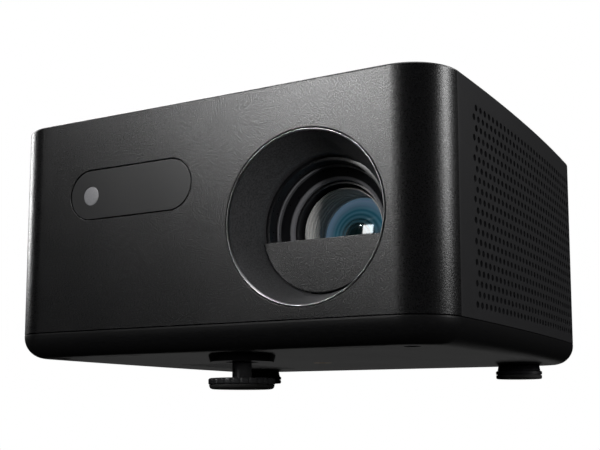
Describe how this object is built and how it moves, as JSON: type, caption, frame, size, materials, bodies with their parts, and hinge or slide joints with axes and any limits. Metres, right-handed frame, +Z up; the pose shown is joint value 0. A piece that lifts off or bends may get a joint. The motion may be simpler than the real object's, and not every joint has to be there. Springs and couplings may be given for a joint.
{
  "type": "home projector",
  "caption": "Box-shaped home video projector with a recessed round lens, half-disc shroud, sensor window, perforated sides and a screw-out front foot.",
  "frame": {"origin": "middle of the footprint, on the plane under the front foot as it is screwed out at rest", "axes": "+Z up, +Y towards the back with the ports, +X to the right seen from the lens side"},
  "size_m": [0.2576, 0.24, 0.1425],
  "materials": {
    "shell_paint": "fine-grained satin black paint",
    "tray_plastic": "smooth satin black",
    "grille_plastic": "satin black, perforated",
    "cover_plastic": "fine satin black",
    "smoked_window": "smoked, semi-gloss",
    "camera_cover": "grey translucent",
    "polished_trim": "polished chamfer",
    "lens_black": "black anodised, turned",
    "lens_grey": "satin anodised, ribbed",
    "lens_glass": "coated optical glass",
    "optic_glass": "clear",
    "gear_plastic": "natural acetal",
    "motor_steel": "plated",
    "cast_metal": "die cast",
    "heat_aluminium": "extruded",
    "copper": "copper pipe",
    "circuit_board": "solder mask",
    "ribbon": "flexible cable",
    "fan_plastic": "black",
    "filter_mesh": "open foam",
    "speaker_plastic": "black",
    "speaker_metal": "stamped",
    "speaker_cone": "paper",
    "socket_metal": "plated",
    "socket_plastic": "black",
    "supply_parts": "mixed components",
    "screw_steel": "blackened",
    "foot_plastic": "black",
    "foot_rubber": "matt black",
    "foot_metal": "black, turned",
    "brass_insert": "plain",
    "button_plastic": "semi-gloss black"
  },
  "bodies": {
    "casing": {"base_tray": "tray_plastic", "front_shell": "shell_paint", "left_side_grille": "grille_plastic", "right_side_grille": "grille_plastic", "rear_panel": "shell_paint", "top_cover": "cover_plastic", "button_switch": "circuit_board", "lens_trim_ring": "polished_trim", "lens_funnel": "shell_paint", "lens_shroud": "shell_paint", "lens_bezel": "lens_black", "lens_tube": "lens_black", "rear_lens_cell": "lens_black", "rear_lens_glass": "lens_glass", "focus_motor_bracket": "cast_metal", "focus_motor": "motor_steel", "engine_housing": "cast_metal", "engine_lid": "cast_metal", "prism": "optic_glass", "dichroic_plates": "optic_glass", "condenser_lenses": "optic_glass", "led_modules": "circuit_board", "heat_spreader": "heat_aluminium", "heat_pipes": "copper", "fin_stack": "heat_aluminium", "imager_board": "circuit_board", "imager_heatsink": "heat_aluminium", "imager_ribbon": "ribbon", "intake_fan_frame": "fan_plastic", "exhaust_fan_frame": "fan_plastic", "dust_filter": "filter_mesh", "left_speaker_box": "speaker_plastic", "right_speaker_box": "speaker_plastic", "speaker_drivers": "speaker_metal", "speaker_cones": "speaker_cone", "main_board": "circuit_board", "main_heatsink": "heat_aluminium", "port_sockets": "socket_metal", "audio_jack": "socket_plastic", "power_inlet": "socket_plastic", "power_supply_board": "circuit_board", "power_supply_parts": "supply_parts", "screws": "screw_steel", "sensor_window": "smoked_window", "camera_cover": "camera_cover", "window_frame": "speaker_plastic", "sensor_board": "circuit_board", "rear_feet": "foot_plastic", "rear_foot_pads": "foot_rubber", "foot_bushing": "brass_insert", "stand_thread": "brass_insert"},
    "front_foot_pad": {"foot_pad": "foot_rubber"},
    "front_foot_screw": {"foot_spindle": "foot_metal"},
    "power_key": {"power_button": "button_plastic"},
    "intake_rotor": {"intake_fan_rotor": "fan_plastic"},
    "exhaust_rotor": {"exhaust_fan_rotor": "fan_plastic"},
    "focus_ring": {"focus_ring_gear": "gear_plastic"},
    "focus_drive": {"focus_pinion": "gear_plastic"},
    "focus_cell": {"front_lens_cell": "lens_grey", "front_lens_glass": "lens_glass"}
  },
  "joints": [
    {"name": "foot_height", "type": "slide", "parent": "casing", "child": "front_foot_pad", "axis": [0, 0, 1], "range_m": [-0.006, 0.008]},
    {"name": "foot_turn", "type": "hinge", "parent": "front_foot_pad", "child": "front_foot_screw", "pos_m": [0, -0.079, 0.004], "axis": [0, 0, 1], "range_deg": [-720, 960]},
    {"name": "power_press", "type": "slide", "parent": "casing", "child": "power_key", "axis": [0, 0, -1], "range_m": [0, 0.0012], "stiffness_N_per_m": 400, "springref_m": -0.0008},
    {"name": "intake_fan_spin", "type": "hinge", "parent": "casing", "child": "intake_rotor", "pos_m": [-0.108, 0.052, 0.078], "axis": [-1, 0, 0], "continuous": true},
    {"name": "exhaust_fan_spin", "type": "hinge", "parent": "casing", "child": "exhaust_rotor", "pos_m": [0.108, 0.052, 0.078], "axis": [1, 0, 0], "continuous": true},
    {"name": "focus_turn", "type": "hinge", "parent": "casing", "child": "focus_ring", "pos_m": [0.058, -0.048, 0.0775], "axis": [0, 1, 0], "range_deg": [-30, 30]},
    {"name": "pinion_turn", "type": "hinge", "parent": "casing", "child": "focus_drive", "pos_m": [0.03226, -0.048, 0.10324], "axis": [0, 1, 0], "range_deg": [-142, 142]},
    {"name": "focus_slide", "type": "slide", "parent": "casing", "child": "focus_cell", "axis": [0, 1, 0], "range_m": [-0.0006, 0.0006]}
  ],
  "couplings": [
    {"joint": "foot_turn", "follows": "foot_height", "rad_per_m": 2094.4},
    {"joint": "focus_turn", "follows": "focus_slide", "rad_per_m": 872},
    {"joint": "pinion_turn", "follows": "focus_slide", "rad_per_m": -4087.5}
  ]
}
